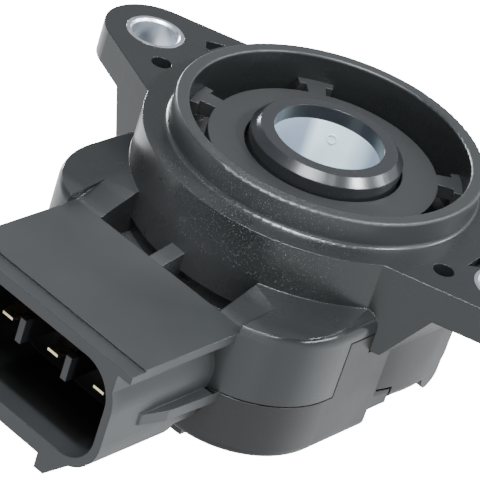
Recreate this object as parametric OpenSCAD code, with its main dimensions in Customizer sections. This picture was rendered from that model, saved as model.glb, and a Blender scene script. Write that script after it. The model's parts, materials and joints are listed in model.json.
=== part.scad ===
// Rotary throttle position sensor: a flanged, moulded housing with a three-way
// connector, a sprung rotor that the throttle shaft turns, and a wiper that
// sweeps a printed resistor board inside.
// Millimetres. The origin is the centre of the flange's mounting face, on the
// rotor's axis. +Z points out of the mounting face, -Y out of the connector.

/* [Flange] */
// Distance between the centres of the two mounting bolts
bolt_pitch = 50; // [46:0.5:56]
// Radius of the round middle of the flange
flange_r = 19.2; // [18.6:0.1:20]
// Radius of the round end of each ear
ear_r = 5.6; // [5:0.1:7]
// Thickness of each ear
ear_t = 3.75; // [3:0.25:5]
// Half width of the ear where it leaves the round middle
ear_root_half = 10.2; // [9:0.1:11]
// Distance from the axis at which the ear's gusset starts under the ear
gusset_x = 22.6; // [21.5:0.1:23.5]
// Drop of the gusset below the ear
gusset_drop = 6; // [4:0.25:7]
// Steepness of the gusset's slope, in degrees
gusset_angle = 60; // [50:1:70]

/* [Mounting bushes] */
// Outer radius of each steel bush
bush_r = 3.2; // [3:0.05:3.6]
// Radius of the bolt hole through each bush
bolt_hole_r = 2.55; // [2.2:0.05:2.7]
// Width of the chamfer at each end of the bolt hole
bush_chamfer = 0.25; // [0.1:0.05:0.4]

/* [Spigot ring] */
// Outer radius of the locating ring
ring_r = 16.5; // [16:0.1:17.2]
// Inner radius of the locating ring
ring_in_r = 15; // [14.6:0.1:15.4]
// Height of the ring above the mounting face
ring_h = 3.05; // [2:0.05:4]
// Rounding of the ring's two top edges
ring_round = 0.3; // [0.1:0.05:0.5]
// Radius of the fillet at the foot of the ring
ring_foot = 0.5; // [0.2:0.1:0.8]

/* [Body] */
// Half width of the body
body_half = 18.2; // [17.9:0.1:18.6]
// Distance from the axis to the body's front face
body_front = 24; // [23:0.25:26]
// Radius of the upright front corner on the +X side
corner_r = 10; // [8.5:0.1:10.5]
// Radius of the upright front corner on the -X side
corner_left_r = 8.8; // [8:0.1:10]
// Radius of the body's round back
back_r = 18.9; // [18.6:0.1:19.2]
// Depth at which the ledge on the front corners leaves the skirt
ledge_z = 5.3; // [5.1:0.1:5.6]
// Fall of the ledge for each millimetre away from the skirt
ledge_fall = 0.13; // [0.05:0.01:0.16]
// Rounding of the ledge's edge
ledge_round = 1.85; // [1.2:0.05:1.9]
// Depth of the body's front bottom below the mounting face
body_depth = 21.1; // [20.9:0.1:22]
// Depth of the shallower round back below the mounting face
back_depth = 17.9; // [17.8:0.1:18.4]
// Distance in front of the axis at which the bottom steps down
step_y = 5.2; // [4:0.1:7]
// Depth of the step between front and back below the mounting face
mid_depth = 18.6; // [18.4:0.1:19.2]
// Depth of the heel at each side of the back below the mounting face
heel_depth = 19.1; // [18.9:0.1:20.4]
// Rounding of the body's bottom edge
bottom_round = 1.2; // [0.5:0.1:1.6]
// Thickness of the moulded walls
wall = 2; // [1.6:0.1:2.4]

/* [Parting line] */
// Depth of the joint between housing and cover at the front
joint_z = 14.2; // [14.2:0.1:14.8]
// Depth of that joint at the sides and back, where the cover rises
tongue_z = 7.5; // [7.4:0.1:8.6]
// Distance in front of the axis at which the joint steps down
tongue_y = 12.8; // [11:0.1:13.8]
// Width of the shadow gap that the joint shows
joint_gap = 0.15; // [0.1:0.05:0.3]
// Thickness of the cover's rising edge, which laps outside the housing
lap_t = 1.1; // [0.8:0.1:1.3]
// Width of the seal between housing and cover
seal_w = 0.7; // [0.5:0.05:0.8]
// Depth of the seal's groove in the cover
seal_groove = 0.5; // [0.3:0.1:0.8]

/* [Recess behind the connector] */
// Half width of the recess
recess_half = 8.5; // [7:0.1:9]
// Depth of its floor below the mounting face
recess_z = 10.3; // [9.6:0.1:10.8]
// Radius of its round inner wall, below the skirt's rim
recess_r = 18.7; // [18.4:0.1:19]
// Width of the web that crosses it
web_w = 1.9; // [1.2:0.1:2.5]
// Offset of that web from the middle
web_x = -0.5; // [-3:0.1:3]

/* [Connector] */
// Distance from the axis to the connector's mouth
mouth_y = 38; // [35:0.5:42]
// Depth of the hood's top below the mounting face
hood_z = 7.1; // [6.6:0.1:7.6]
// Thickness of the hood
hood_t = 1.1; // [0.8:0.1:1.5]
// Half width of the hood
hood_half = 12; // [11.5:0.1:13]
// Distance from the axis to the hood's back edge
hood_back = 22.2; // [21.6:0.1:23]
// Length of the lowered strip along the hood's front edge
strip_len = 1.8; // [1:0.1:3]
// Depth of that strip
strip_drop = 0.25; // [0.1:0.05:0.5]
// Length of each side rib, measured back from its tip
rib_len = 9.5; // [6:0.5:10]
// Thickness of each side rib
rib_t = 1.2; // [0.8:0.1:1.6]
// Half width of the socket's inside
socket_half = 10; // [9.5:0.1:10.4]
// Depth of the socket's inner top below the mounting face
socket_top = 8.7; // [8.5:0.1:9]
// Depth of the socket's inner bottom below the mounting face
socket_bottom = 20.3; // [19.5:0.1:20.6]
// Radius of the socket's inner corners
socket_corner = 3.8; // [2:0.1:5]
// Wall of the socket
socket_wall = 0.9; // [0.7:0.05:1.2]
// Thickness of the wall behind the socket
socket_back_t = 4.6; // [4.4:0.1:5]
// Distance between neighbouring terminals
pin_pitch = 6.5; // [5.5:0.1:7]
// Depth of the terminals below the mounting face
pin_z = 13.8; // [13:0.1:13.8]
// Distance from the mouth back to the terminals' tips
pin_inset = 3.1; // [2:0.1:5]
// Width of each terminal blade
pin_w = 2.2; // [1.5:0.1:2.4]
// Thickness of each terminal blade
pin_t = 0.64; // [0.5:0.02:0.8]
// Thickness of each polarising rib in the socket
key_t = 0.75; // [0.5:0.05:1]
// Height of each polarising rib
key_h = 2.8; // [2:0.1:3.5]

/* [Rotor] */
// Radius of the rotor's journal and collar
rotor_r = 8.15; // [7.9:0.05:8.4]
// Height of the collar above the mounting face
collar_h = 2.2; // [1.5:0.1:3]
// Chamfer of the collar's top edge
collar_chamfer = 0.85; // [0.3:0.05:1.2]
// Radius of the drive socket
drive_r = 5.9; // [5:0.05:6.2]
// Depth of the black rim above the white insert
drive_rim = 1.6; // [0.8:0.1:2.5]
// Outer radius of the white insert
insert_r = 7.1; // [6.8:0.05:7.3]
// Width of the slot that takes the shaft's tongue
slot_w = 3.2; // [2:0.1:4]
// Radial running clearance of the journal
run_gap = 0.03; // [0.02:0.01:0.06]
// Travel of the rotor in degrees
rotor_travel = 95; // [80:1:110]

/* [Retainer plate] */
// Radius of the retainer plate
plate_r = 12.3; // [12:0.1:12.6]
// Thickness of the retainer plate
plate_t = 1.5; // [1:0.1:2]
// Depth of the groove between the plate and the ring
groove_z = 4.6; // [4:0.1:5]
// Half angle of the neck of each lug, in degrees
lug_neck = 4.5; // [3:0.5:6]
// Half angle of the head of each lug, in degrees
lug_head = 7.6; // [6:0.2:9]
// Radial width of the head of each lug
lug_head_w = 1; // [0.6:0.1:1.4]

/* [Bearing] */
// Wall of the sintered bearing
bearing_t = 1.4; // [1.1:0.1:1.6]
// Length of the bearing
bearing_l = 4; // [3:0.25:4.25]
// Depth of the bearing's top below the mounting face
bearing_z = 6.4; // [6.3:0.1:6.6]
// Wall of the boss around the bearing
boss_t = 1.4; // [1.2:0.1:1.8]

/* [Return spring] */
// Diameter of the spring wire
wire_d = 0.8; // [0.6:0.05:0.9]
// Number of turns
spring_turns = 4; // [3:1:5]

/* [Resistor board] */
// Thickness of the board
board_t = 0.8; // [0.6:0.1:1]
// Thickness of the cover's floor under the board
cover_floor = 1.3; // [1.2:0.1:1.6]
// Radius of the outer track's middle
track_r = 11.5; // [11:0.1:12]
// Width of each track
track_w = 1.6; // [1:0.1:2]
// Distance between the two tracks' middles
track_step = 2.8; // [2.2:0.1:3.2]
// Thickness of the printed tracks
track_t = 0.1; // [0.05:0.01:0.15]

/* [Hidden] */
fine = 96;
mid = 48;
// A small amount by which a cutting tool runs past the face that it cuts
over = 0.5;

bolt_x = bolt_pitch / 2;
// Where the ear has its root width
ear_wide_x = 14;
// The ear's side edge leaves the round end at a tangent, at this slope
ear_slope = atan((ear_root_half - ear_r) / (bolt_x - ear_wide_x));
ear_tan = [bolt_x + ear_r * sin(ear_slope), ear_r * cos(ear_slope)];
ear_root_x = 12;
ear_root_y = ear_tan[1] + (ear_tan[0] - ear_root_x) * tan(ear_slope);

// The rotor's stack, as depths below the mounting face
collar_in_r = rotor_r + 0.3;
ring_z = plate_t + 0.5;
ring_t = 0.8;
ring_groove_r = rotor_r - 0.5;
wave_t = 0.6;
boss_z = ring_z + ring_t + wave_t + 0.1;
seal_z = boss_z + 0.4;
seal_t = bearing_z - seal_z - 0.3;
bearing_r = rotor_r + run_gap + bearing_t;
boss_r = bearing_r + boss_t;
bearing_end = bearing_z + bearing_l;
thrust_t = 0.7;
thrust_z = bearing_end + 0.2;
disc_z = thrust_z + thrust_t + 0.05;
disc_t = 1.2;
carrier_z = disc_z + disc_t;
carrier_t = 0.8;
carrier_hole_r = drive_r - 1.4;
insert_end = disc_z + disc_t;

// The ramp from the ledge to the hood, and the skirt's rim in the recess
ramp_back = hood_back - 4.7;
rim_depth = 8.5;
web_top = 6.1;

// The deck under the groove and the chamber below it
deck_t = 1.6;
deck_z = groove_z + deck_t;
chamber_r = 16.4;
front_in = body_front - wall;
chamber_half = body_half - wall;
terminal_z = recess_z + 1.4;

// The blind holes and small pockets beside the ring
blind_x = 20.1;
blind_y = 4.05;
blind_r = 1.1;
blind_t = 2.5;
pocket_t = 1;
pocket_left = [[-21.4, 4.4], [-19.9, 2.7], [-19.8, 5.8]];
pocket_right = [[20.7, -0.9], [20.3, 2.0], [21.9, 0.8]];

// The rotor's stops
stop_r = chamber_r - 0.4;
stop_half = 5;
stop_start = 200;
stop_clear = 1.5;

// The connector
socket_out_half = socket_half + socket_wall;
shroud_top = hood_z + hood_t;
shroud_bottom = socket_bottom + 1.05;
shroud_lap = 0.2;
shoulder_in = 0.6;
shoulder_t = 2.2;
foot_len = 5;
foot_in = 4;
foot_tip = 5.3;
foot_out = 8;
foot_drop = 2.6;
foot_root = 0.4;
bridge_half = 4.6;
bridge_t = 0.9;
hood_corner = 1;
shroud_step = socket_back_t - 1.4;
shroud_step_z = 17.7;
key_inset = 1.5;
key_lift = 0.9;
rib_out = 1.2;
rib_z = joint_z;
pin_tip_y = -(mouth_y - pin_inset);
blade_taper = 2;
pin_tip_w = pin_w * 0.64;

board_bottom = back_depth - cover_floor;
board_z = board_bottom - board_t;
board_clear = 0.3;
board_half = 10;
board_front = front_in - board_clear;

// The terminals' legs that go down through the board
leg_y = -(board_front - 1.6);
leg_end = board_bottom + 0.5;
leg_clear = 0.1;

// The heel under the back, and the snap tab's outline
heel_y = 2.6;
heel_w = 7.5;
heel_round = 2.3;
heel_t = 3.4;
heel_step = 0.1;
mid_y = 2.4;
bar_drop = 0.7;
bar_half = 9.2;
bar_inset = 0.9;
bar_w = 1.4;
snap_line = 0.25;
snap_y = 4.95;
snap_w = 1.8;
snap_z = 16.3;
snap_drop = 1.1;

// The return spring's wire, around the bearing's boss
spring_r = boss_r + 1.2;
spring_top = deck_z + 0.6;
spring_low = disc_z - 0.7;
spring_sides = 8;
disc_r = spring_r + wire_d / 2 + 0.8;
carrier_r = disc_r - 0.4;
spring_start = 150;
spring_tail = 9;
spring_leg = 15.2;
post_w = 1.4;
post_gap = 0.1;

// The wiper's fingers
finger_t = 0.2;
finger_w = 1.1;
finger_angle = 196;
finger_len = 5;
finger_foot = 0.5;
finger_root = 2.5;
sweep_gap = 0.15;

// The printed tracks' ends and leads
sweep_a0 = 204;
sweep_a1 = 336;
lead_in = 3.5;
lead_w = 1;

// 2D outlines

// The round middle and the two tapered ears, seen from above
module flange_outline() {
    circle(r = flange_r, $fn = fine);
    for (s = [-1, 1]) {
        translate([s * bolt_x, 0]) circle(r = ear_r, $fn = fine);
        ear_plan(s);
    }
}

// The tapered part of one ear, seen from above
module ear_plan(s, grow = 0) {
    polygon([[s * ear_root_x, -ear_root_y - grow], [s * ear_tan[0], -ear_tan[1] - grow],
        [s * ear_tan[0], ear_tan[1] + grow], [s * ear_root_x, ear_root_y + grow]]);
}

// The body's outline from above, with everything moved in by an amount
module body_outline(inset = 0) {
    circle(r = back_r - inset, $fn = fine);
    front_outline(inset);
}

function corner(s) = s > 0 ? corner_r : corner_left_r;

// The squarer front half of that outline
module front_outline(inset = 0) {
    for (s = [-1, 1]) {
        c = corner(s);
        translate([s * (body_half - c), -(body_front - c)]) circle(r = c - inset, $fn = fine);
        mirror([s < 0 ? 1 : 0, 0]) {
            translate([0, -(body_front - inset)]) square([body_half - c, body_front - 2 * inset]);
            translate([0, -(body_front - c)]) square([body_half - inset, body_front - c - inset]);
        }
    }
}

// Half of a disc's section with one rounded edge, for the body's round corners
module puck_section(r, h, edge) {
    square([r - edge, h]);
    square([r, h - edge]);
    translate([r - edge, h - edge]) circle(r = edge, $fn = mid);
}

// A body-shaped block that stands on z = 0 with its top edge rounded
module rounded_front(h, edge) {
    for (s = [-1, 1]) {
        c = corner(s);
        translate([s * (body_half - c), -(body_front - c)])
            rotate_extrude($fn = fine) puck_section(c, h, edge);
        mirror([s < 0 ? 1 : 0, 0, 0]) {
            rotate([90, 0, 90]) linear_extrude(body_half - c)
                mirror([1, 0]) puck_section(body_front, h, edge);
            rotate([90, 0, 0]) linear_extrude(body_front - c) puck_section(body_half, h, edge);
        }
    }
}

module rounded_back(h, edge) {
    rotate_extrude($fn = fine) puck_section(back_r, h, edge);
}

// The housing

// The space that the housing leaves to the rear cover, seen from above
module cover_side_plan() {
    translate([-back_r - over, -tongue_y]) square([2 * (back_r + over), back_r + tongue_y + over]);
}

// The solid front body and the skirt, before anything is hollowed out
module housing_solid() {
    // flange plate and skirt
    translate([0, 0, -ear_t]) linear_extrude(ear_t) flange_outline();
    translate([0, 0, -tongue_z]) cylinder(r = flange_r, h = tongue_z, $fn = fine);
    // front body with its rounded ledge
    difference() {
        translate([0, 0, -joint_z]) rounded_front(joint_z - ledge_z, ledge_round);
        translate([0, 0, -joint_z - over]) linear_extrude(joint_z + over - tongue_z)
            cover_side_plan();
        ledge_cut();
    }
    // inner wall that the cover's rising edge laps
    translate([0, 0, -joint_z]) linear_extrude(joint_z - tongue_z + 0.1)
        body_outline(lap_t + joint_gap);
    for (s = [-1, 1]) gusset(s);
    // locating ring with its foot fillet
    rotate_extrude($fn = fine) ring_section();
}

// What slopes the ledge: a cone around the skirt, and a ramp down to the hood
module ledge_cut() {
    far = 2 * body_front;
    rotate_extrude($fn = fine) polygon([[flange_r, 0], [flange_r, -ledge_z],
        [far, -ledge_z - ledge_fall * (far - flange_r)], [far, 0]]);
    translate([-hood_half, 0, 0]) rotate([90, 0, 90]) linear_extrude(2 * hood_half)
        polygon([[-far, -hood_z], [-hood_back, -hood_z], [-ramp_back, -ledge_z], [-ramp_back, 0],
            [-far, 0]]);
}

module ring_section() {
    difference() {
        union() {
            translate([ring_in_r, -1]) square([ring_r - ring_in_r, ring_h + 1 - ring_round]);
            translate([ring_in_r + ring_round, 0])
                square([ring_r - ring_in_r - 2 * ring_round, ring_h]);
            translate([ring_r - over, -over]) square([ring_foot + over, ring_foot + over]);
            for (x = [ring_in_r + ring_round, ring_r - ring_round])
                translate([x, ring_h - ring_round]) circle(r = ring_round, $fn = mid);
        }
        translate([ring_r + ring_foot, ring_foot]) circle(r = ring_foot, $fn = mid);
    }
}

// The wedge under an ear: the ear's plan cut by a sloping plane
module gusset(s) {
    run = gusset_drop / tan(gusset_angle);
    root = ear_root_x;
    intersection() {
        translate([0, 0, -ear_t - gusset_drop]) linear_extrude(gusset_drop + 1) ear_plan(s);
        rotate([90, 0, 0]) translate([0, 0, -ear_root_half - 2])
            linear_extrude(2 * ear_root_half + 4)
                polygon([[s * root, -ear_t - gusset_drop],
                    [s * (gusset_x - run), -ear_t - gusset_drop],
                    [s * gusset_x, -ear_t], [s * gusset_x, -ear_t + 1], [s * root, -ear_t + 1]]);
    }
}

// The recess between the hood and the skirt, with its web left standing
module recess_cut() {
    difference() {
        translate([-recess_half, -hood_back, -recess_z])
            cube([2 * recess_half, hood_back, recess_z - over]);
        translate([0, 0, -recess_z - over]) cylinder(r = recess_r, h = recess_z + over, $fn = fine);
        translate([0, 0, -rim_depth]) cylinder(r = flange_r, h = rim_depth, $fn = fine);
        translate([web_x - web_w / 2, 0, 0]) rotate([90, 0, 90]) linear_extrude(web_w)
            polygon([[-hood_back - over, -recess_z - over], [-hood_back - over, -hood_z],
                [-hood_back, -hood_z], [-recess_r + 1, -web_top],
                [-recess_r + 1, -recess_z - over]]);
    }
}

// The connector, solid

module socket_profile(half, top, bottom, r) {
    for (x = [-half + r, half - r], z = [-top - r, -bottom + r])
        translate([x, z]) circle(r = r, $fn = mid);
    translate([-half + r, -bottom]) square([2 * (half - r), bottom - top]);
    translate([-half, -bottom + r]) square([2 * half, bottom - top - 2 * r]);
}

module connector_solid() {
    // hood
    difference() {
        translate([0, 0, -hood_z - hood_t]) linear_extrude(hood_t) {
            translate([-hood_half, -mouth_y]) square([2 * hood_half, mouth_y - hood_back - hood_corner]);
            translate([-hood_half + hood_corner, -mouth_y])
                square([2 * (hood_half - hood_corner), mouth_y - hood_back]);
            for (s = [-1, 1]) translate([s * (hood_half - hood_corner), -hood_back - hood_corner])
                circle(r = hood_corner, $fn = mid);
        }
        translate([-hood_half - over, -mouth_y - over, -hood_z - strip_drop])
            cube([2 * (hood_half + over), strip_len + over, 1]);
    }
    // shroud
    rotate([90, 0, 0]) translate([0, 0, body_front - 1])
        linear_extrude(mouth_y - body_front + 1)
            socket_profile(socket_out_half, shroud_top - shroud_lap, shroud_bottom,
                socket_corner + socket_wall);
    // the top corners under the hood are square
    translate([-socket_out_half + shoulder_in, -mouth_y, -hood_z - hood_t - shoulder_t])
        cube([2 * (socket_out_half - shoulder_in), mouth_y - body_front + 1, shoulder_t + 0.1]);
    side_ribs();
    latch_feet();
}

// A tapered rib along each side of the shroud
module side_ribs() {
    out = socket_out_half;
    tip = body_front + rib_len;
    for (s = [-1, 1]) translate([0, 0, -rib_z - rib_t]) linear_extrude(rib_t)
        polygon([[s * (out - 0.3), -tip - 0.5], [s * (out + 0.2), -tip + 0.2],
            [s * (out + rib_out * 0.8), -tip + rib_len * 0.35],
            [s * (out + rib_out), -body_front - 1], [s * (out + rib_out), -body_front + 1],
            [s * (out - 0.3), -body_front + 1]]);
}

// The latch bridge under the mouth, with a guard foot at each end
module latch_feet() {
    translate([-bridge_half, -mouth_y, -shroud_bottom - bridge_t])
        cube([2 * bridge_half, foot_len, bridge_t + foot_root]);
    for (s = [-1, 1]) rotate([90, 0, 0]) translate([0, 0, mouth_y - foot_len]) linear_extrude(foot_len)
        polygon([[s * foot_in, -shroud_bottom + foot_root], [s * foot_in, -shroud_bottom - foot_drop],
            [s * foot_tip, -shroud_bottom - foot_drop], [s * foot_out, -shroud_bottom + foot_root]]);
}

// What is hollowed out of the housing
module housing_hollow() {
    // groove inside the ring, around the boss that stands in the retainer plate
    difference() {
        translate([0, 0, -groove_z])
            cylinder(r = ring_in_r, h = groove_z + ring_h + over, $fn = fine);
        translate([0, 0, -groove_z]) cylinder(r = boss_r, h = groove_z - boss_z, $fn = fine);
    }
    // chamber under the deck
    difference() {
        union() {
            translate([0, 0, -joint_z - over])
                cylinder(r = chamber_r, h = joint_z + over - deck_z, $fn = fine);
            intersection() {
                translate([0, 0, -joint_z - over])
                    linear_extrude(joint_z + over - terminal_z) front_outline(wall);
                translate([-chamber_half, -front_in, -joint_z - 1])
                    cube([2 * chamber_half, front_in, joint_z]);
            }
        }
        // boss for the bearing
        translate([0, 0, -bearing_end]) cylinder(r = boss_r, h = bearing_end, $fn = fine);
    }
    // seat of the seal, bore of the bearing
    translate([0, 0, -bearing_z]) cylinder(r = bearing_r, h = bearing_z, $fn = fine);
    translate([0, 0, -bearing_end - over])
        cylinder(r = bearing_r, h = bearing_l + over + 0.2, $fn = fine);
    // socket of the connector
    rotate([90, 0, 0]) translate([0, 0, body_front + socket_back_t])
        linear_extrude(mouth_y - body_front - socket_back_t + over)
            socket_profile(socket_half, socket_top, socket_bottom, socket_corner);
    // slots that the terminals are moulded through
    for (i = [-1, 0, 1]) translate([i * pin_pitch - pin_w / 2, -body_front - socket_back_t - over,
            -pin_z - pin_t / 2])
        cube([pin_w, socket_back_t + wall + 2 * over, pin_t]);
    // bolt holes and the blind holes beside them
    for (s = [-1, 1]) {
        translate([s * bolt_x, 0, -ear_t - over])
            cylinder(r = bush_r, h = ear_t + 2 * over, $fn = mid);
        translate([s * blind_x, -blind_y, -blind_t]) cylinder(r = blind_r, h = blind_t + over, $fn = mid);
    }
}

// Small blind pockets beside the ring
module pockets() {
    translate([0, 0, -pocket_t]) linear_extrude(pocket_t + over) {
        polygon(pocket_left);
        polygon(pocket_right);
    }
}

module housing() {
    color("#2c2e30") {
        difference() {
            union() {
                housing_solid();
                connector_solid();
            }
            housing_hollow();
            recess_cut();
            pockets();
            // the shroud stops short of the cover, further forward below its back wall
            translate([-hood_half, -body_front - joint_gap, -body_depth - 1])
                cube([2 * hood_half, body_front, body_depth + 1 - joint_z]);
            translate([-hood_half, -body_front - shroud_step, -body_depth - 1])
                cube([2 * hood_half, body_front, body_depth + 1 - shroud_step_z]);
        }
        keys();
        rotor_stop();
        spring_anchor();
    }
}

// The slotted post that holds the spring's outer leg
module spring_anchor() {
    drop = spring_top + wire_d / 2 - deck_z;
    rotate(spring_start) difference() {
        translate([spring_leg - post_w, -post_w, -deck_z - drop]) cube([post_w, 2 * post_w, drop + 0.1]);
        translate([spring_leg - post_w - over, -wire_d / 2 - post_gap, -deck_z - drop - over])
            cube([post_w + 2 * over, wire_d + 2 * post_gap, drop + over - post_gap]);
    }
}

// The two polarising ribs between the terminals
module keys() {
    long = mouth_y - key_inset - body_front - socket_back_t;
    for (s = [-1, 1]) translate([s * pin_pitch / 2 - key_t / 2, key_inset - mouth_y,
            key_lift - pin_z - key_h / 2])
        cube([key_t, long + 0.1, key_h]);
}

// The block under the deck that stops the rotor's lug at both ends of its travel
module rotor_stop() {
    block = 12;
    rest = stop_start - stop_half - stop_clear;
    full = stop_start + stop_half + stop_clear + rotor_travel;
    for (a = [rest - block, full])
        translate([0, 0, -disc_z - disc_t]) linear_extrude(disc_z + disc_t - deck_z + 0.1)
            difference() {
                sector(chamber_r + 0.1, a, a + block);
                circle(r = disc_r + 0.5, $fn = fine);
            }
}

// A pie slice from one angle to another
module sector(r, a0, a1) {
    steps = ceil((a1 - a0) / 30);
    far = 1.3 * r;
    intersection() {
        circle(r = r, $fn = fine);
        polygon(concat([[0, 0]], [for (i = [0 : steps])
            let (a = a0 + (a1 - a0) * i / steps) [far * cos(a), far * sin(a)]]));
    }
}

// The rear cover

// The cover's outside: a deep front, a shallower round back and a rising edge
module cover_solid() {
    rim_z = joint_z + joint_gap;
    heels();
    mirror([0, 0, 1]) translate([0, 0, rim_z]) {
        rounded_back(back_depth - rim_z, bottom_round);
        difference() {
            rounded_front(body_depth - rim_z, bottom_round);
            translate([-body_half - over, -step_y, mid_depth - rim_z])
                cube([2 * (body_half + over), body_front, body_depth]);
            translate([-body_half - over, -mid_y, back_depth - rim_z])
                cube([2 * (body_half + over), body_front, body_depth]);
        }
    }
    // bar along the front of the bottom
    translate([0, 0, -body_depth - bar_drop]) linear_extrude(bar_drop + over) intersection() {
        front_outline(bar_inset);
        translate([-bar_half, -body_front]) square([2 * bar_half, bar_inset + bar_w]);
    }
    difference() {
        intersection() {
            translate([0, 0, -rim_z - 0.1])
                linear_extrude(rim_z + 0.1 - tongue_z - joint_gap) body_outline();
            translate([0, 0, -rim_z - 1]) linear_extrude(rim_z)
                translate([0, joint_gap]) cover_side_plan();
        }
        translate([0, 0, -rim_z]) linear_extrude(rim_z) body_outline(lap_t);
    }
}

module rear_cover() {
    color("#303234") difference() {
        cover_solid();
        // room for the board, and the deeper front under it
        translate([0, 0, -board_bottom]) linear_extrude(body_depth) chamber_plan();
        translate([0, 0, -body_depth + cover_floor]) linear_extrude(body_depth)
            intersection() {
                chamber_plan();
                translate([-body_half, -body_front])
                    square([2 * body_half, body_front - step_y - wall]);
            }
        // groove for the seal
        translate([0, 0, -joint_z - joint_gap - seal_groove]) linear_extrude(joint_z)
            seal_plan();
        for (s = [-1, 1]) gusset_room(s);
        snap_lines();
    }
}

// The inside of the body, seen from above
module chamber_plan() {
    circle(r = chamber_r, $fn = fine);
    front_outline(wall);
}

module seal_plan() {
    difference() {
        body_outline(lap_t + joint_gap);
        body_outline(lap_t + joint_gap + seal_w);
    }
}

// Room in the cover's rim for the foot of each gusset
module gusset_room(s) {
    translate([0, 0, -ear_t - gusset_drop - joint_gap]) linear_extrude(gusset_drop + 1)
        ear_plan(s, joint_gap);
}

// The heel that stands below the rim at each side of the back
module heels() {
    intersection() {
        translate([0, 0, -heel_depth])
            cylinder(r = back_r - heel_step, h = heel_depth - joint_z - 1, $fn = fine);
        union() for (s = [-1, 1]) translate([s * (back_r - heel_step), 0, 0]) mirror([s < 0 ? 1 : 0, 0])
            rotate([90, 0, 90]) translate([0, 0, -heel_t]) linear_extrude(2 * heel_t) {
                translate([heel_y + heel_round, -heel_depth + heel_round])
                    circle(r = heel_round, $fn = mid);
                translate([heel_y + heel_round, -heel_depth - over])
                    square([heel_w - heel_round, heel_depth + over - joint_z]);
                translate([heel_y, -heel_depth + heel_round])
                    square([heel_w, heel_depth - heel_round - joint_z]);
            }
    }
}

// The outline of the snap tab that is moulded in each side
module snap_lines() {
    for (s = [-1, 1]) {
        x = s > 0 ? body_half - snap_line : -back_r - over;
        translate([x, -snap_y, -snap_z]) cube([snap_line + over + 1, snap_w, snap_line]);
        translate([x, -snap_y + snap_w, -snap_z - snap_drop])
            cube([snap_line + over + 1, snap_line, snap_drop + snap_line]);
    }
}

module cover_seal() {
    color("#1c1c1e") translate([0, 0, -joint_z - joint_gap - seal_groove])
        linear_extrude(joint_gap + seal_groove) seal_plan();
}

// Fixed pieces

module mount_bush(s) {
    color("#b8bcc0") translate([s * bolt_x, 0, 0]) difference() {
        translate([0, 0, -ear_t]) cylinder(r = bush_r, h = ear_t, $fn = mid);
        translate([0, 0, -ear_t - over]) cylinder(r = bolt_hole_r, h = ear_t + 2 * over, $fn = mid);
        for (m = [0, 1]) translate([0, 0, m ? -ear_t : 0]) mirror([0, 0, m])
            translate([0, 0, -bush_chamfer]) cylinder(r1 = bolt_hole_r,
                r2 = bolt_hole_r + 2 * bush_chamfer, h = 2 * bush_chamfer, $fn = mid);
    }
}

module mount_bush_left() { mount_bush(-1); }
module mount_bush_right() { mount_bush(1); }

module retainer_plate() {
    lugs = [45, 135, 198, 290];
    skirt_t = 1.2;
    color("#2a2c2e") {
        difference() {
            union() {
                translate([0, 0, -plate_t]) cylinder(r = plate_r, h = plate_t, $fn = fine);
                translate([0, 0, -groove_z])
                    cylinder(r = plate_r, h = groove_z - plate_t + 0.1, $fn = fine);
            }
            translate([0, 0, -plate_t - over]) cylinder(r = collar_in_r, h = plate_t + 2 * over, $fn = fine);
            translate([0, 0, -groove_z - over])
                cylinder(r = plate_r - skirt_t, h = groove_z - plate_t + over, $fn = fine);
        }
        for (a = lugs) translate([0, 0, -plate_t]) linear_extrude(plate_t) rotate(a) {
            difference() {
                sector(ring_in_r - 0.5, -lug_neck, lug_neck);
                circle(r = plate_r - 0.2, $fn = fine);
            }
            difference() {
                sector(ring_in_r, -lug_head, lug_head);
                circle(r = ring_in_r - lug_head_w, $fn = fine);
            }
        }
    }
}

module rotor_seal() {
    lip_r = 0.5;
    lip_z = 0.2;
    color("#151517") translate([0, 0, -seal_z - seal_t]) rotate_extrude($fn = fine)
        difference() {
            translate([rotor_r + run_gap, 0]) square([bearing_t, seal_t]);
            translate([rotor_r + bearing_t / 2 + run_gap, seal_t + lip_z]) circle(r = lip_r, $fn = mid);
        }
}

module rotor_bearing() {
    color("#9a7b4f") translate([0, 0, -bearing_end]) difference() {
        cylinder(r = bearing_r, h = bearing_l, $fn = fine);
        translate([0, 0, -over]) cylinder(r = rotor_r + run_gap, h = bearing_l + 2 * over, $fn = fine);
    }
}

// A flat ring bent into three waves
module wave_washer() {
    steps = 72;
    strip = 0.25;
    rise = wave_t - strip - 0.05;
    in_r = rotor_r + 0.3;
    out_r = boss_r - 0.4;
    function wave(i) = -boss_z + rise * (0.5 - 0.5 * cos(3 * 360 * i / steps));
    points = [for (i = [0 : steps - 1], c = [[in_r, 0], [out_r, 0], [out_r, strip], [in_r, strip]])
        [c[0] * cos(360 * i / steps), c[0] * sin(360 * i / steps), wave(i) + c[1]]];
    faces = [for (i = [0 : steps - 1], k = [0 : 3])
        let (a = 4 * i, b = 4 * ((i + 1) % steps), n = (k + 1) % 4) each
            [[a + k, b + n, b + k], [a + k, a + n, b + n]]];
    color("#a4a8ac") polyhedron(points, faces);
}

module thrust_washer() {
    color("#c9c2a8") translate([0, 0, -thrust_z - thrust_t]) difference() {
        cylinder(r = bearing_r + 0.6, h = thrust_z + thrust_t - bearing_end, $fn = fine);
        translate([0, 0, -over]) cylinder(r = rotor_r + 0.3, h = thrust_t + 2 * over, $fn = fine);
    }
}

// Moving pieces

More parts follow.
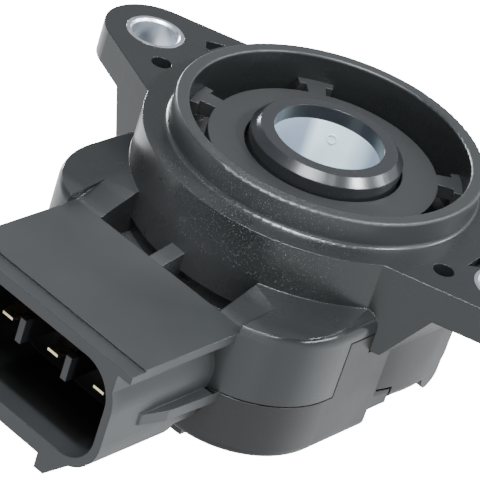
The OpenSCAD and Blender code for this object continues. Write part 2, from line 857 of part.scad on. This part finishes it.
module rotor() {
    color("#26282a") difference() {
        union() {
            translate([0, 0, -disc_z - 0.1])
                cylinder(r = rotor_r, h = disc_z + 0.1 + collar_h - collar_chamfer, $fn = fine);
            translate([0, 0, collar_h - collar_chamfer]) cylinder(r1 = rotor_r,
                r2 = rotor_r - collar_chamfer, h = collar_chamfer, $fn = fine);
            translate([0, 0, -disc_z - disc_t]) cylinder(r = disc_r, h = disc_t, $fn = fine);
            // stop lug
            translate([0, 0, -disc_z - disc_t]) linear_extrude(disc_t) difference() {
                sector(stop_r, stop_start - stop_half, stop_start + stop_half);
                circle(r = disc_r - 0.2, $fn = fine);
            }
        }
        translate([0, 0, -disc_z - disc_t - over])
            cylinder(r = drive_r, h = disc_z + disc_t + collar_h + 2 * over, $fn = fine);
        translate([0, 0, -disc_z - disc_t - over])
            cylinder(r = insert_r, h = disc_z + disc_t + over + collar_h - drive_rim, $fn = fine);
        // hole for the spring's leg
        rotate(spring_start + spring_tail) translate([spring_r, 0, -disc_z - disc_t - over])
            cylinder(r = wire_d / 2 + 0.2, h = disc_t + 2 * over, $fn = mid);
        // groove for the retaining ring
        translate([0, 0, -ring_z - ring_t]) difference() {
            cylinder(r = rotor_r + 1, h = ring_t, $fn = fine);
            cylinder(r = ring_groove_r, h = ring_t, $fn = fine);
        }
    }
}

module drive_insert() {
    top = collar_h - drive_rim;
    floor_t = 2;
    color("#e4ebf2") translate([0, 0, -insert_end]) difference() {
        cylinder(r = insert_r, h = insert_end + top, $fn = fine);
        translate([0, 0, floor_t]) cylinder(r = drive_r, h = insert_end + top, $fn = fine);
        translate([-drive_r + 0.6, -slot_w / 2, -over]) cube([2 * drive_r - 1.2, slot_w, floor_t + 1]);
    }
}

module retaining_ring() {
    ring_gap = 15;
    color("#8d9196") translate([0, 0, -ring_z - ring_t + 0.05]) linear_extrude(ring_t - 0.1)
        difference() {
            circle(r = rotor_r + 1, $fn = fine);
            circle(r = ring_groove_r, $fn = fine);
            sector(rotor_r + 3, 90 - ring_gap, 90 + ring_gap);
        }
}

// The spring's wire: an outward leg, the turns, and a leg down into the rotor
function spring_path() = let (n = spring_turns * 24, end = spring_start + 360 * spring_turns)
    concat([[spring_leg * cos(spring_start), spring_leg * sin(spring_start), -spring_top]],
        [for (i = [0 : n]) let (a = spring_start + 360 * spring_turns * i / n)
            [spring_r * cos(a), spring_r * sin(a),
                -spring_top - (spring_low - spring_top) * i / n]],
        [[spring_r * cos(end + spring_tail - 1), spring_r * sin(end + spring_tail - 1), -spring_low - 0.5],
            [spring_r * cos(end + spring_tail), spring_r * sin(end + spring_tail), -carrier_z + 0.1]]);

function unit(v) = v / norm(v);

// A round wire along a path
module wire(path, r, sides) {
    n = len(path);
    dirs = [for (i = [0 : n - 1]) unit(path[min(i + 1, n - 1)] - path[max(i - 1, 0)])];
    points = [for (i = [0 : n - 1])
        let (u = unit(cross(dirs[i], unit([path[i][0], path[i][1], 0.001]))), v = cross(dirs[i], u))
            for (k = [0 : sides - 1]) path[i] + r * (cos(360 * k / sides) * u + sin(360 * k / sides) * v)];
    sides_faces = [for (i = [0 : n - 2], k = [0 : sides - 1])
        let (a = i * sides, b = (i + 1) * sides, m = (k + 1) % sides) each
            [[a + k, b + k, b + m], [a + k, b + m, a + m]]];
    caps = [[for (k = [0 : sides - 1]) k], [for (k = [sides - 1 : -1 : 0]) (n - 1) * sides + k]];
    polyhedron(points, concat(sides_faces, caps));
}

module return_spring() {
    color("#8f9498") wire(spring_path(), wire_d / 2, spring_sides);
}

module wiper_carrier() {
    color("#3a3d40") translate([0, 0, -carrier_z - carrier_t]) difference() {
        cylinder(r = carrier_r, h = carrier_t, $fn = fine);
        translate([0, 0, -over]) cylinder(r = carrier_hole_r, h = carrier_t + 2 * over, $fn = fine);
    }
}

// A spring finger under the carrier that slopes down to a track
module wiper_contact(r) {
    top = -carrier_z - carrier_t;
    low = -board_z + track_t + sweep_gap;
    foot = finger_len - 2 * finger_foot;
    x = sqrt(r * r - pow(finger_len - finger_foot, 2));
    rotate(finger_angle) translate([x - finger_w / 2, 0, 0])
        rotate([90, 0, 90]) linear_extrude(finger_w)
            polygon([[-finger_root, top], [-finger_root, top - finger_t], [0, top - finger_t],
                [foot, low], [finger_len, low], [finger_len, low + finger_t],
                [foot + finger_t, low + finger_t], [finger_t, top]]);
}

module wiper_contact_a() { color("#c9a557") wiper_contact(track_r); }
module wiper_contact_b() { color("#c9a557") wiper_contact(track_r - track_step); }

// The board: round over the floor, with a straight front that takes the terminals
module resistor_board() {
    color("#7a5a34") translate([0, 0, -board_bottom]) linear_extrude(board_t) difference() {
        union() {
            circle(r = chamber_r - board_clear, $fn = fine);
            translate([-board_half, -board_front]) square([2 * board_half, board_front]);
        }
        for (i = [-1, 0, 1]) translate([i * pin_pitch - pin_w / 2 - leg_clear,
                leg_y - pin_t / 2 - leg_clear])
            square([pin_w + 2 * leg_clear, pin_t + 2 * leg_clear]);
    }
}

// A printed arc, and a straight printed lead from one point to another
module arc(r, a0, a1) {
    difference() {
        sector(r + track_w / 2, a0, a1);
        circle(r = r - track_w / 2, $fn = fine);
    }
}

module lead(p, q) {
    d = q - p;
    translate(p) rotate(atan2(d[1], d[0])) translate([0, -lead_w / 2]) square([norm(d), lead_w]);
}

module printed() {
    translate([0, 0, -board_z]) linear_extrude(track_t) children();
}

// The resistive arc, with a lead from each end to an outer terminal
module resistive_track() {
    r = track_r - track_step;
    bend = track_r + track_w / 2 + lead_w + 0.7;
    color("#1b1b1b") printed() {
        arc(r, sweep_a0, sweep_a1);
        for (s = [-1, 1]) {
            a = s < 0 ? sweep_a0 + lead_in : sweep_a1 - lead_in;
            out = bend * [cos(a), sin(a)];
            lead(r * [cos(a), sin(a)], out * (bend + lead_w / 2) / bend);
            lead(out, [s * pin_pitch, leg_y + pin_t / 2 + 2 * leg_clear]);
        }
    }
}

// The collector arc, with a lead to the middle terminal
module collector_track() {
    color("#c0c0c0") printed() {
        arc(track_r, sweep_a0 + 2 * lead_in + 4, sweep_a1 - 2 * lead_in - 4);
        lead([0, -track_r], [0, leg_y + pin_t / 2 + 2 * leg_clear]);
    }
}

// A blade with a coined tip that bends down through the board
module terminal(i) {
    back_y = leg_y + pin_t / 2;
    color("#d8c38a") translate([i * pin_pitch, 0, 0]) {
        hull() {
            translate([-pin_w / 2, pin_tip_y + blade_taper, -pin_z - pin_t / 2])
                cube([pin_w, 0.1, pin_t]);
            translate([-pin_tip_w / 2, pin_tip_y, -pin_z - pin_t / 4])
                cube([pin_tip_w, 0.1, pin_t / 2]);
        }
        translate([-pin_w / 2, pin_tip_y + blade_taper, -pin_z - pin_t / 2])
            cube([pin_w, back_y - pin_tip_y - blade_taper, pin_t]);
        translate([-pin_w / 2, back_y - pin_t, -leg_end]) cube([pin_w, pin_t, leg_end - pin_z]);
    }
}

module terminal_left() { terminal(-1); }
module terminal_centre() { terminal(0); }
module terminal_right() { terminal(1); }

housing();
rear_cover();
cover_seal();
mount_bush_left();
mount_bush_right();
retainer_plate();
rotor();
drive_insert();
retaining_ring();
wave_washer();
rotor_seal();
rotor_bearing();
thrust_washer();
return_spring();
wiper_carrier();
wiper_contact_a();
wiper_contact_b();
resistor_board();
resistive_track();
collector_track();
terminal_left();
terminal_centre();
terminal_right();
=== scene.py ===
import json

import bpy
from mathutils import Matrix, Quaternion, Vector


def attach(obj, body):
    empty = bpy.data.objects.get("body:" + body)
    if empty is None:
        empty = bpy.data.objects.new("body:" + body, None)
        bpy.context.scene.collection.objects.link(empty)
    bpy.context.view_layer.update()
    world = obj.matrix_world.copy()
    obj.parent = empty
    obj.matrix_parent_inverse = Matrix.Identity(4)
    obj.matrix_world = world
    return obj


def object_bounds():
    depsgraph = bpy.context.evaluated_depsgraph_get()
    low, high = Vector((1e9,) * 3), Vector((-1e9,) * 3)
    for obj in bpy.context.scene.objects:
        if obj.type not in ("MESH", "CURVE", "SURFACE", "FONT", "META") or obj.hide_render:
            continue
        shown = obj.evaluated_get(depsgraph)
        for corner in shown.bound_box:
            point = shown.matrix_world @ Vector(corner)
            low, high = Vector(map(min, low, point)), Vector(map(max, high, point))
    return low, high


MM = 0.001

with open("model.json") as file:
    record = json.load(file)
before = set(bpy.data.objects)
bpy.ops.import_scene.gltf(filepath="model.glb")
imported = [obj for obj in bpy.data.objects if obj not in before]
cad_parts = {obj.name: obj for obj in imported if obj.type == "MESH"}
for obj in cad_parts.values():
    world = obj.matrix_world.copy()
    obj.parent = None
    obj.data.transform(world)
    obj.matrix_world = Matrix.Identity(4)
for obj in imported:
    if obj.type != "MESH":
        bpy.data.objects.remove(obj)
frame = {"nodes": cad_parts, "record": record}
cad_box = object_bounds()

# Camera, fitted to the photograph: its place in millimetres, its turn, lens and sensor
CAMERA_PLACE = Vector((139.097, -222.172, 148.177)) * MM
CAMERA_TURN = Quaternion((0.785773, 0.483890, 0.062915, 0.380070))
CAMERA_LENS = 219.894
CAMERA_SENSOR = 36
CAMERA_CLIP = (0.01, 10)

# Floor, just under the part, in metres
FLOOR_Z = cad_box[0].z - 0.0002
FLOOR_SIZE = 3.0
FLOOR_GREY = (0.9, 0.9, 0.9)
FLOOR_LIGHT = (1, 1, 1)
FLOOR_GLOW = 16

# Lobes of the surround: a direction, the cosines between which the light rises, and its
# strength, which takes light away below zero
LOBES = (
    ((0.28, -0.45, -0.85), -0.10, 0.60, 1.5),
    ((0.0, 0.0, -1.0), 0.60, 0.95, -0.8),
    ((0.50, 0.72, -0.20), 0.55, 1.0, 1.45),
    ((-0.80, 0.35, -0.45), 0.86, 1.0, 2.1),
    ((-0.45, 0.70, 0.55), 0.35, 0.95, 0.25),
    ((0.0, 0.0, 1.0), 0.6, 1.0, 0.4),
)
ROOM_LIGHT = 0.2

# Soft boxes: name, place and size in millimetres, power in watts
BOXES = (
    ("key_box", (50, -185, 545), (260, 130), 8.3),
    ("front_strip", (70, -290, 475), (170, 22), 1.1),
    ("mid_spark", (274, -123, 470), (34, 34), 0.11),
    ("side_strip", (370, 120, 400), (110, 60), 3.4),
    ("low_strip", (297, -426, 207), (400, 24), 0.75),
    ("low_side_strip", (515, 112, 134), (400, 24), 1.0),
    ("left_rim", (-520, 205, 40), (120, 60), 2.2),
    ("rim_box", (220, 360, 280), (160, 120), 1.4),
)
STUDIO_TINT = (0.94, 0.97, 1.0)

# Rounding of the sharp edges, in millimetres
PLASTIC_EDGE = 0.16
PLAIN_EDGE = 0.1
METAL_EDGE = 0.08
EDGE_SAMPLES = 6

# Noise: its roughness, and its detail for gloss, for grain and areas, and for specks
NOISE_ROUGH = 0.6
DETAIL = 4.0
FINE_DETAIL = 2.0
SPECK_DETAIL = 1.0

# Black plastics: sizes of the unevenness in millimetres, and the noise levels that count
GLOSS_SIZE = 6.0
GLOSS_NOISE = (0.35, 0.65)
GLOSS_CHANGE = (-0.03, 0.04)
GRAIN_SIZE = 0.22
GRAIN_STRENGTH = 0.15
GRAIN_DEPTH = 0.006
SPECK_SIZE = 0.13
SPECK_NOISE = (0.73, 0.78)
SPECK_COVER = 0.7
SPECK_GAIN = 4
SPECK_LIFT = 0.10
SPECK_AREA_SIZE = 9.0
SPECK_AREA_NOISE = (0.42, 0.62)

# Metals: size of the uneven gloss in millimetres, noise levels and change of roughness
METAL_SIZE = 1.5
METAL_NOISE = (0.3, 0.7)
METAL_CHANGE = (-0.06, 0.08)

# The housing's colours
HOUSING_BLACK = (0.011, 0.012, 0.0125)
SATIN_BLACK = (0.017, 0.0185, 0.0195)
# painted light: a paler grey painted into the recess behind the connector
RECESS_PAINTED_LIGHT = (0.028, 0.029, 0.030)
WORN_GREY = (0.17, 0.175, 0.18)
# painted shade: near black painted onto the socket's walls past its mouth
SOCKET_PAINTED_SHADE = (0.002, 0.002, 0.002)
HOUSING_ROUGH = 0.27
HOUSING_SCUFFS = 0.08

# Satin connector end, and the satin outside and rim of the locating ring
SATIN_CHANGE = 0.13
SATIN_Y = (-21, -22)
RING_FOOT_Z = (0.2, 0.6)
RING_MIDDLE = (0, 0, -6)
RING_REACH = (17.3, 17.5)

# Polished rounding along the front of the two ledges beside the connector
POLISH_CHANGE = -0.14
LEDGES = ((14.5, -17, -6), (-14.5, -17, -6))
LEDGE_REACH = (7, 9)
LEDGE_LOW_Z = (-7.4, -6.8)
LEDGE_HIGH_Z = (-6.1, -5.8)

# Painted light: a paler grey in the recess behind the connector, and worn specks at the front
# of the ring
RECESS_LIGHT_MIDDLE = (-2, -18, -8)
RECESS_LIGHT_REACH = (5, 11)
RING_WEAR = (4, -17.5, -1)
WEAR_REACH = (5, 13)
WEAR_LEAST = 0.06
WEAR_FOOT_Z = (-5.2, -4.6)
WEAR_BELOW = 0.1

# The connector's socket, whose walls past the mouth are painted near black as shade
SOCKET_HALF = 10
SOCKET_HIGH = -8.7
SOCKET_LOW = -20.3
SOCKET_EDGE = (1.12, 1.3)
SOCKET_MOUTH_Y = (-35.9, -35.3)
SOCKET_BACK_Y = (-28.5, -28.3)

# The insert's cup: painted shade and the white of a painted lit band, and where along X the
# band runs
INSERT_ROUGH = 0.45
INSERT_PAINTED_SHADE = (0.27, 0.33, 0.41)
INSERT_LIT_WHITE = (0.80, 0.95, 1.0)
LIT_BAND_RISE_X = (-5.0, -4.3)
LIT_BAND_FALL_X = (-1.0, 2.4)

# The moulding gate's mark on the far wall of the insert's cup: place and size in millimetres
GATE_PLACE = (-2.83, 5.1, -1.25)
GATE_R = 0.5
GATE_EDGE = 0.045

# Colour, roughness and specular level of the other black plastics
BLACKS = {
    "cover_black": ((0.009, 0.009, 0.0088), 0.36, 0.4),
    "plate_black": ((0.017, 0.018, 0.0185), 0.42, 0.5),
    "rotor_black": ((0.015, 0.016, 0.0175), 0.20, 0.5),
}

# Colour and roughness of the metals and the conductive inks
METALS = {
    "bush_steel": ((0.63, 0.67, 0.72), 0.36),
    "ring_steel": ((0.45, 0.46, 0.48), 0.35),
    "spring_steel": ((0.50, 0.51, 0.52), 0.3),
    "bearing_bronze": ((0.50, 0.36, 0.20), 0.5),
    "wiper_metal": ((0.78, 0.62, 0.34), 0.3),
    "collector_ink": ((0.66, 0.66, 0.64), 0.4),
    "pin_plate": ((0.86, 0.74, 0.48), 0.28),
}

# Colour and roughness of the plain materials inside the sensor
PLAINS = {
    "washer_plastic": ((0.60, 0.56, 0.44), 0.5),
    "seal_rubber": ((0.015, 0.015, 0.016), 0.6),
    "board_brown": ((0.30, 0.19, 0.09), 0.5),
    "resistor_ink": ((0.02, 0.02, 0.02), 0.5),
}


def camera():
    """The camera at the photograph's viewpoint."""
    data = bpy.data.cameras.new("camera")
    data.lens = CAMERA_LENS
    data.sensor_width = CAMERA_SENSOR
    data.clip_start, data.clip_end = CAMERA_CLIP
    made = bpy.data.objects.new("camera", data)
    made.rotation_mode = "QUATERNION"
    made.location = CAMERA_PLACE
    made.rotation_quaternion = CAMERA_TURN
    bpy.context.scene.collection.objects.link(made)
    bpy.context.scene.camera = made


def softbox(name, place, size, power):
    """A rectangular soft light at a place in millimetres, turned towards the part."""
    data = bpy.data.lights.new(name, "AREA")
    data.shape = "RECTANGLE"
    data.size, data.size_y = size[0] * MM, size[1] * MM
    data.energy = power
    data.color = STUDIO_TINT
    made = bpy.data.objects.new(name, data)
    made.location = Vector(place) * MM
    made.rotation_mode = "QUATERNION"
    made.rotation_quaternion = (-made.location).to_track_quat("-Z", "Y")
    bpy.context.scene.collection.objects.link(made)


def lobe_light(tree, ray, direction, low, high, gain):
    """Light that rises smoothly to gain where a ray nears a direction."""
    dot = tree.nodes.new("ShaderNodeVectorMath")
    dot.operation = "DOT_PRODUCT"
    dot.inputs[1].default_value = Vector(direction).normalized()
    tree.links.new(ray, dot.inputs[0])
    rise = tree.nodes.new("ShaderNodeMapRange")
    rise.interpolation_type = "SMOOTHSTEP"
    rise.inputs["From Min"].default_value = low
    rise.inputs["From Max"].default_value = high
    rise.inputs["To Min"].default_value = 0
    rise.inputs["To Max"].default_value = gain
    tree.links.new(dot.outputs["Value"], rise.inputs["Value"])
    return rise.outputs["Result"]


def surround():
    """A dim room with lobes of light below, behind, beside and above the part."""
    world = bpy.data.worlds.new("surround")
    world.use_nodes = True
    tree = world.node_tree
    ray = tree.nodes.new("ShaderNodeTexCoord").outputs["Generated"]
    total = tree.nodes.new("ShaderNodeValue").outputs["Value"]
    total.default_value = ROOM_LIGHT
    for lobe in LOBES:
        join = tree.nodes.new("ShaderNodeMath")
        tree.links.new(total, join.inputs[0])
        tree.links.new(lobe_light(tree, ray, *lobe), join.inputs[1])
        total = join.outputs["Value"]
    sky = tree.nodes["Background"]
    tree.links.new(total, sky.inputs["Strength"])
    sky.inputs["Color"].default_value = (*STUDIO_TINT, 1)
    bpy.context.scene.world = world


def studio():
    """A plain pale floor that lights nothing by itself, the surround and soft lights."""
    surround()
    bpy.ops.mesh.primitive_plane_add(size=FLOOR_SIZE, location=(0, 0, FLOOR_Z))
    floor = bpy.context.object
    floor.name = "floor"
    paper = bpy.data.materials.new("paper")
    paper.use_nodes = True
    shader = paper.node_tree.nodes["Principled BSDF"]
    shader.inputs["Base Color"].default_value = (*FLOOR_GREY, 1)
    shader.inputs["Roughness"].default_value = 1
    shader.inputs["Emission Color"].default_value = (*FLOOR_LIGHT, 1)
    shader.inputs["Emission Strength"].default_value = FLOOR_GLOW
    floor.data.materials.append(paper)
    floor.visible_diffuse = False
    floor.visible_glossy = False
    floor.visible_shadow = False
    for box in BOXES:
        softbox(*box)


class Shader:
    """A material with a Principled shader, and short ways to add nodes to it.

    Places and sizes are in millimetres, in the object's own frame.
    """

    def __init__(self, name, color, roughness, metallic=0.0, specular=0.5):
        self.material = bpy.data.materials.new(name)
        self.material.use_nodes = True
        self.tree = self.material.node_tree
        self.out = self.tree.nodes["Principled BSDF"]
        self.out.inputs["Base Color"].default_value = (*color, 1)
        self.out.inputs["Roughness"].default_value = roughness
        self.out.inputs["Metallic"].default_value = metallic
        self.out.inputs["Specular IOR Level"].default_value = specular
        self.normal = None
        self.place = self.add("ShaderNodeTexCoord").outputs["Object"]

    def add(self, kind, **values):
        node = self.tree.nodes.new(kind)
        for key, value in values.items():
            setattr(node, key, value)
        return node

    def link(self, source, target):
        self.tree.links.new(source, target)

    def noise(self, size, detail=DETAIL):
        """Noise whose lumps are about the given size across."""
        node = self.add("ShaderNodeTexNoise")
        node.inputs["Scale"].default_value = 1 / (size * MM)
        node.inputs["Detail"].default_value = detail
        node.inputs["Roughness"].default_value = NOISE_ROUGH
        self.link(self.place, node.inputs["Vector"])
        return node.outputs["Fac"]

    def spread(self, source, low, high, to_low=0.0, to_high=1.0):
        """Maps low to to_low and high to to_high, with straight values between."""
        node = self.add("ShaderNodeMapRange")
        node.inputs["From Min"].default_value = low
        node.inputs["From Max"].default_value = high
        node.inputs["To Min"].default_value = to_low
        node.inputs["To Max"].default_value = to_high
        self.link(source, node.inputs["Value"])
        return node.outputs["Result"]

    def along(self, axis, start, end, at_start=0.0, at_end=1.0):
        """Goes from at_start to at_end between two places along an axis."""
        split = self.add("ShaderNodeSeparateXYZ")
        self.link(self.place, split.inputs[0])
        return self.spread(split.outputs[axis], start * MM, end * MM, at_start, at_end)

    def around(self, point, inner, outer, at_inner=1.0, at_outer=0.0):
        """Goes from at_inner to at_outer between two distances from a point."""
        node = self.add("ShaderNodeVectorMath", operation="DISTANCE")
        self.link(self.place, node.inputs[0])
        node.inputs[1].default_value = Vector(point) * MM
        return self.spread(node.outputs["Value"], inner * MM, outer * MM, at_inner, at_outer)

    def mix(self, factor, first, second):
        """Blends the two colours by factor, and returns the blend."""
        node = self.add("ShaderNodeMix", data_type="RGBA")
        self.link(factor, node.inputs["Factor"])
        for socket, value in ((node.inputs["A"], first), (node.inputs["B"], second)):
            if hasattr(value, "is_output"):
                self.link(value, socket)
            else:
                socket.default_value = (*value, 1)
        return node.outputs["Result"]

    def math(self, operation, first, second):
        node = self.add("ShaderNodeMath", operation=operation)
        self.link(first, node.inputs[0])
        self.link(second, node.inputs[1])
        return node.outputs["Value"]

    def times(self, first, second):
        return self.math("MULTIPLY", first, second)

    def sum(self, first, second):
        return self.math("ADD", first, second)

    def soft_edges(self, width):
        """Shades the sharp edges as if they were rounded."""
        node = self.add("ShaderNodeBevel", samples=EDGE_SAMPLES)
        node.inputs["Radius"].default_value = width * MM
        self.normal = node.outputs["Normal"]
        self.link(self.normal, self.out.inputs["Normal"])

    def grain(self, height, strength, depth):
        """A bump of the given depth, on top of the soft edges."""
        node = self.add("ShaderNodeBump")
        node.inputs["Distance"].default_value = depth * MM
        node.inputs["Strength"].default_value = strength
        self.link(height, node.inputs["Height"])
        self.link(self.normal, node.inputs["Normal"])
        self.link(node.outputs["Normal"], self.out.inputs["Normal"])


def black_plastic(name, color, roughness, specular=0.5, scuffs=0.0):
    """Moulded plastic: a fine grain, uneven gloss, faint dust and small scuffs.

    Returns the shader, with its gloss and its specks for what builds on it.
    """
    made = Shader(name, color, roughness, specular=specular)
    made.soft_edges(PLASTIC_EDGE)
    uneven = [roughness + change for change in GLOSS_CHANGE]
    made.gloss = made.spread(made.noise(GLOSS_SIZE), *GLOSS_NOISE, *uneven)
    made.link(made.gloss, made.out.inputs["Roughness"])
    made.grain(made.noise(GRAIN_SIZE, FINE_DETAIL), GRAIN_STRENGTH, GRAIN_DEPTH)
    levels = [level - scuffs for level in SPECK_NOISE]
    made.specks = made.spread(made.noise(SPECK_SIZE, SPECK_DETAIL), *levels, 0.0, SPECK_COVER)
    areas = made.spread(made.noise(SPECK_AREA_SIZE, FINE_DETAIL), *SPECK_AREA_NOISE)
    pale = tuple(SPECK_GAIN * part + SPECK_LIFT for part in color)
    dust_and_painted_light = made.mix(made.times(made.specks, areas), color, pale)
    made.link(dust_and_painted_light, made.out.inputs["Base Color"])
    return made


def housing_black():
    """The housing's plastic: glossy flange and body, satin connector and ring.

    The ledges' rounded edge is polished, light is painted into the recess as a paler grey, the
    specks are mostly at the front of the ring, and shade is painted near black in the socket.
    """
    made = black_plastic(
        "housing_black", HOUSING_BLACK, HOUSING_ROUGH, scuffs=HOUSING_SCUFFS
    )
    ring = made.times(
        made.along("Z", *RING_FOOT_Z), made.around(RING_MIDDLE, *RING_REACH, 0.0, 1.0)
    )
    satin = made.sum(made.along("Y", *SATIN_Y), ring)
    rough = made.sum(made.gloss, made.spread(satin, 0.0, 1.0, 0.0, SATIN_CHANGE))
    right, left = (made.around(ledge, *LEDGE_REACH, POLISH_CHANGE, 0.0) for ledge in LEDGES)
    rounding = made.times(
        made.along("Z", *LEDGE_LOW_Z), made.along("Z", *LEDGE_HIGH_Z, 1.0, 0.0)
    )
    polish = made.times(made.sum(right, left), rounding)
    made.link(made.sum(rough, polish), made.out.inputs["Roughness"])

    base = made.mix(satin, HOUSING_BLACK, SATIN_BLACK)
    # painted light: a paler grey painted into the recess behind the connector
    dust_and_painted_light = made.mix(made.around(RECESS_LIGHT_MIDDLE, *RECESS_LIGHT_REACH), base, RECESS_PAINTED_LIGHT)
    area = made.times(
        made.along("Z", *WEAR_FOOT_Z, WEAR_BELOW, 1.0),
        made.around(RING_WEAR, *WEAR_REACH, 1.0, WEAR_LEAST),
    )
    worn = made.mix(made.times(made.specks, area), dust_and_painted_light, WORN_GREY)
    # painted shade: the socket's walls past its mouth are painted near black
    color = made.mix(in_socket(made), worn, SOCKET_PAINTED_SHADE)
    made.link(color, made.out.inputs["Base Color"])
    return made.material


def in_socket(made):
    """1 on the walls deep in the connector's socket, where shade is painted, and 0 elsewhere.

    The fourth powers follow the socket's rounded section.
    """
    middle = (SOCKET_LOW + SOCKET_HIGH) / 2
    half_height = (SOCKET_HIGH - SOCKET_LOW) / 2
    offset = made.add("ShaderNodeVectorMath", operation="SUBTRACT")
    made.link(made.place, offset.inputs[0])
    offset.inputs[1].default_value = Vector((0, 0, middle)) * MM
    scaled = made.add("ShaderNodeVectorMath", operation="MULTIPLY")
    made.link(offset.outputs["Vector"], scaled.inputs[0])
    scaled.inputs[1].default_value = Vector((1 / SOCKET_HALF, 0, 1 / half_height)) / MM
    squared = made.add("ShaderNodeVectorMath", operation="MULTIPLY")
    fourth = made.add("ShaderNodeVectorMath", operation="DOT_PRODUCT")
    for factor in (0, 1):
        made.link(scaled.outputs["Vector"], squared.inputs[factor])
        made.link(squared.outputs["Vector"], fourth.inputs[factor])
    section = made.spread(fourth.outputs["Value"], *SOCKET_EDGE, 1.0, 0.0)
    depth = made.times(
        made.along("Y", *SOCKET_MOUTH_Y), made.along("Y", *SOCKET_BACK_Y, 1.0, 0.0)
    )
    return made.times(section, depth)


def insert_white():
    """Bluish white plastic with a painted lit band on the cup's wall and painted shade beside
    it.
    """
    made = Shader("insert_white", INSERT_LIT_WHITE, INSERT_ROUGH)
    made.soft_edges(PLAIN_EDGE)
    # painted light and shade: bright in a band along X on the cup's far wall, shaded beside it
    painted_lit_band = made.times(
        made.along("X", *LIT_BAND_RISE_X), made.along("X", *LIT_BAND_FALL_X, 1.0, 0.0)
    )
    made.link(made.mix(painted_lit_band, INSERT_PAINTED_SHADE, INSERT_LIT_WHITE), made.out.inputs["Base Color"])
    return made.material


def metal(name, color, roughness):
    """Metal with soft edges and a slightly uneven gloss."""
    made = Shader(name, color, roughness, metallic=1.0)
    made.soft_edges(METAL_EDGE)
    uneven = [roughness + change for change in METAL_CHANGE]
    gloss = made.spread(made.noise(METAL_SIZE), *METAL_NOISE, *uneven)
    made.link(gloss, made.out.inputs["Roughness"])
    return made.material


def plain(name, color, roughness):
    """One colour with soft edges."""
    made = Shader(name, color, roughness)
    made.soft_edges(PLAIN_EDGE)
    return made.material


def materials():
    """Every material of the record, by the name of its slot."""
    made = {"housing_black": housing_black(), "insert_white": insert_white()}
    made.update({name: black_plastic(name, *look).material for name, look in BLACKS.items()})
    made.update({name: metal(name, *look) for name, look in METALS.items()})
    made.update({name: plain(name, *look) for name, look in PLAINS.items()})
    return made


def dress(made):
    """Gives each node the material of its record slot."""
    slots = {part["node"]: part["material_slot"] for part in frame["record"]["subparts"]}
    for name, node in frame["nodes"].items():
        node.data.materials.clear()
        node.data.materials.append(made[slots[name]])


def gate_mark(material):
    """A low ring on the wall of the insert's cup, facing the rotor's axis."""
    place = Vector(GATE_PLACE)
    facing = Vector((place.x, place.y, 0)).to_track_quat("Z", "Y")
    bpy.ops.mesh.primitive_torus_add(
        location=place * MM,
        rotation=facing.to_euler(),
        major_radius=GATE_R * MM,
        minor_radius=GATE_EDGE * MM,
        major_segments=40,
        minor_segments=10,
    )
    mark = bpy.context.object
    mark.name = "gate_mark"
    bpy.ops.object.shade_smooth()
    mark.data.materials.append(material)
    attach(mark, "rotor")


camera()
studio()
slot_materials = materials()
dress(slot_materials)
gate_mark(slot_materials["insert_white"])
